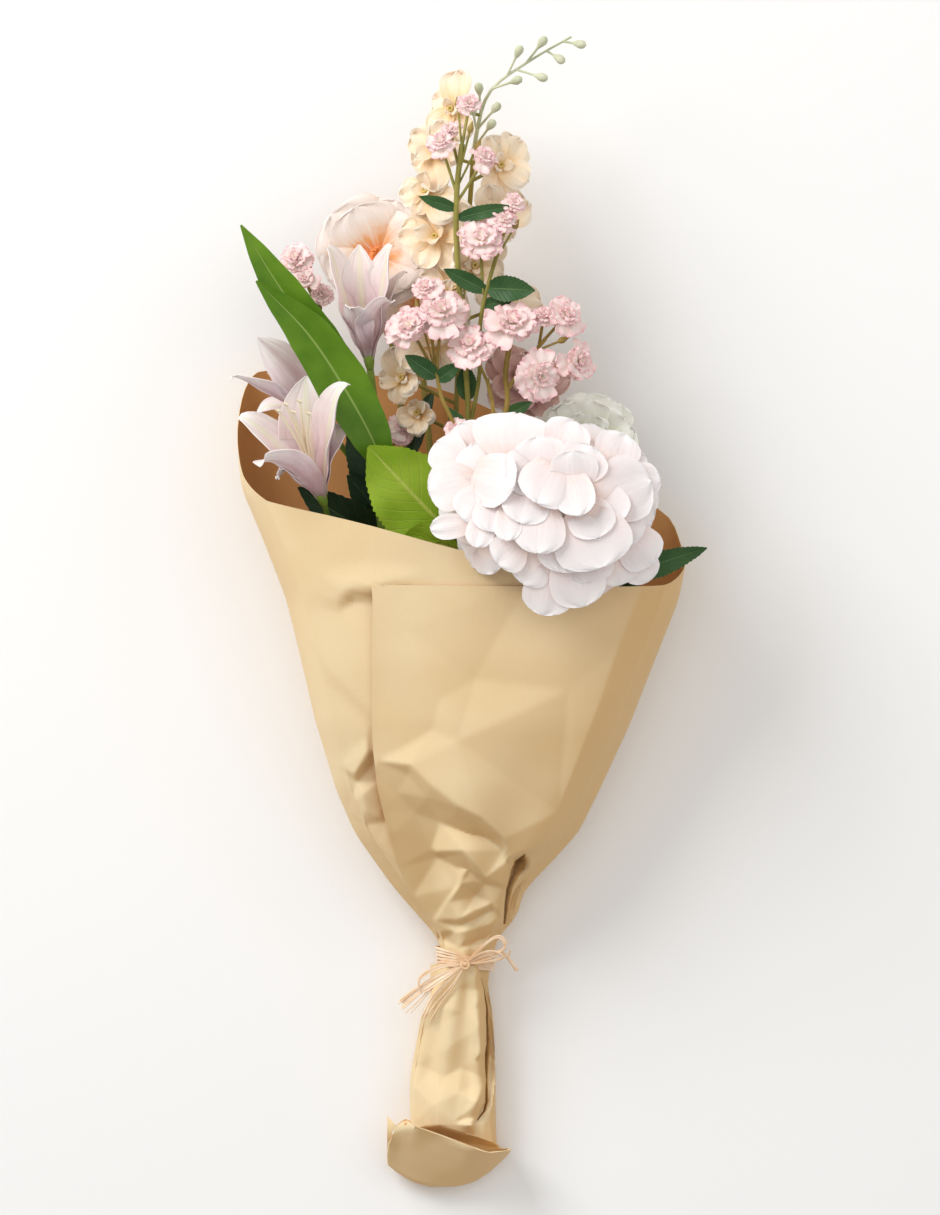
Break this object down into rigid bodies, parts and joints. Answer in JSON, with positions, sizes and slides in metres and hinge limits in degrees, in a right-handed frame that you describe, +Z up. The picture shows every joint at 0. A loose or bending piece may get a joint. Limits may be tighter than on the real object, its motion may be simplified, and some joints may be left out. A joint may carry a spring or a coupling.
{
  "type": "mixed flower bouquet",
  "caption": "Mixed bouquet of artificial flowers and leaves, rolled in one sheet of kraft paper tied at the neck with raffia, for display lying down or held in the hand.",
  "frame": {"origin": "middle of the bounding box, on the surface that the bouquet lies on", "axes": "+X to the right and +Y towards the flower tips for someone who looks down on it, +Z up"},
  "size_m": [0.3084, 0.7518, 0.157],
  "materials": {
    "kraft_paper": "matte coated kraft paper, light tan outside and brown inside",
    "raffia": "matte raffia straw",
    "hydrangea_petals": "matte cloth petals, white to pale pink",
    "lime_leaves": "coated cloth leaves, yellow green",
    "white_rose_petals": "matte cloth petals, greenish white",
    "dark_leaves": "coated cloth leaves, dark green",
    "lily_petals": "matte cloth petals, pale pink lilac",
    "lily_leaves": "coated cloth leaves, bright green",
    "peach_petals": "matte cloth petals, peach with an orange heart",
    "green_stems": "matte green plastic over wire",
    "cream_florets": "matte cloth florets, cream with green throats",
    "spray_roses": "matte cloth roses, pink and cream on olive stalks",
    "dusty_pink_petals": "matte cloth petals, dusty pink"
  },
  "bodies": {
    "root": {"wrapper": "kraft_paper", "raffia_tie": "raffia", "hydrangea_head": "hydrangea_petals", "hydrangea_stem": "lime_leaves", "white_rose_bloom": "white_rose_petals", "white_rose_stem": "dark_leaves", "lily_bloom_front": "lily_petals", "lily_bloom_middle": "lily_petals", "lily_bloom_upper": "lily_petals", "lily_stem": "lily_leaves", "poppy_bloom_large": "peach_petals", "poppy_stem_large": "green_stems", "poppy_bloom_small": "peach_petals", "poppy_stem_small": "green_stems", "delphinium_spike": "cream_florets", "spray_rose_tall": "spray_roses", "spray_rose_front": "spray_roses", "spray_rose_far_left": "spray_roses", "dusty_pink_bloom": "dusty_pink_petals", "dusty_pink_stem": "green_stems", "dark_foliage": "dark_leaves"}
  },
  "joints": []
}
